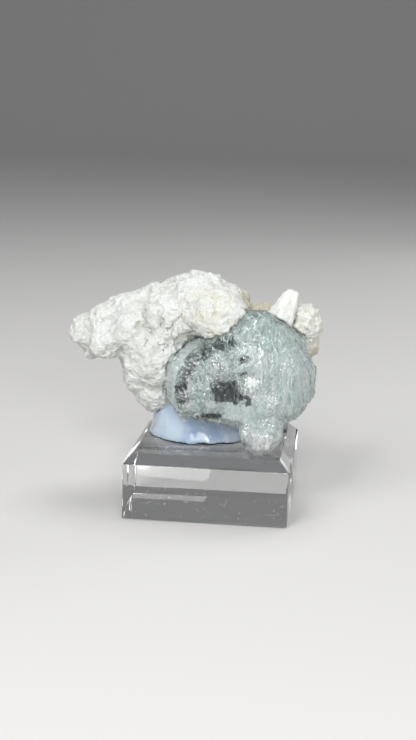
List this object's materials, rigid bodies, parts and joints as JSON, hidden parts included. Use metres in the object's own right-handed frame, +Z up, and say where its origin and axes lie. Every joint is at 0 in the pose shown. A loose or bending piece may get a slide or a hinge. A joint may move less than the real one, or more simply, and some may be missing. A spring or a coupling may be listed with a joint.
{
  "type": "aquamarine crystal specimen",
  "caption": "Etched pale blue aquamarine with a smaller crystal, on lumpy white albite matrix with a stubby feldspar crystal, set in clear gel on a bevelled acrylic display block.",
  "frame": {"origin": "centre of the acrylic block's underside, on the surface that the object stands on", "axes": "+Z up, +X to the right and +Y to the back for a person who faces the aquamarine, square to the block's sides; the longest extent, from the end of the albite arm to the knob, lies along X"},
  "size_m": [0.0636, 0.04, 0.0578],
  "materials": {
    "acrylic": "polished",
    "gel": "gloss",
    "albite": "matte",
    "feldspar": "satin",
    "aquamarine": "gloss"
  },
  "bodies": {
    "root": {"acrylic_block": "acrylic", "setting_gel": "gel", "albite_matrix": "albite", "feldspar_crystal": "feldspar", "aquamarine_crystal": "aquamarine"}
  },
  "joints": []
}
